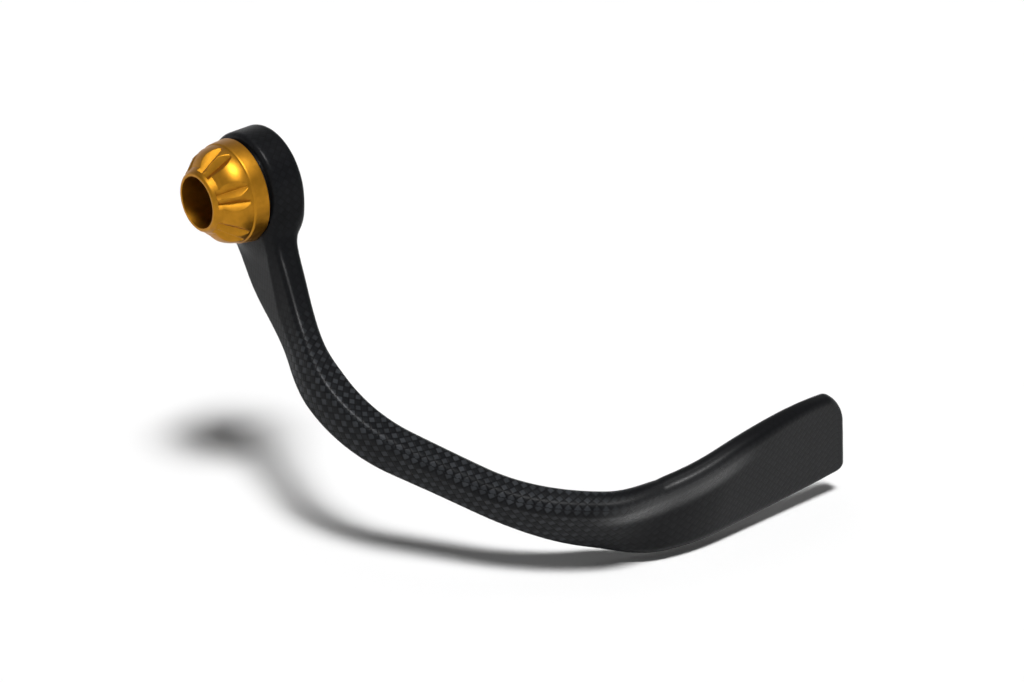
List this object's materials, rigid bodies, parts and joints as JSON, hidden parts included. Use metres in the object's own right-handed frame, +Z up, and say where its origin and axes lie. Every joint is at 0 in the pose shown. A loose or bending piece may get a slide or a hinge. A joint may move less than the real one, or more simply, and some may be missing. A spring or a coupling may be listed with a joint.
{
  "type": "brake lever guard",
  "caption": "Bent composite arm with a ring at one end and a flat paddle at the other, clamped to a handlebar end by a fluted metal cap and one screw.",
  "frame": {"origin": "on the handlebar's axis, in the plane where the bush seats on the handlebar's end", "axes": "+X outboard along the handlebar, +Y forward, +Z up, as fitted at the right-hand end"},
  "size_m": [0.1513, 0.1343, 0.1108],
  "materials": {
    "carbon": "woven carbon fibre under satin clear coat",
    "bush_metal": "turned",
    "gold_cap": "bead-blasted and gold anodised",
    "washer_steel": "zinc plated",
    "screw_steel": "black oxide"
  },
  "bodies": {
    "root": {"guard": "carbon", "bush": "bush_metal", "bar_end_cap": "gold_cap", "washer": "washer_steel", "centre_bolt": "screw_steel"}
  },
  "joints": []
}
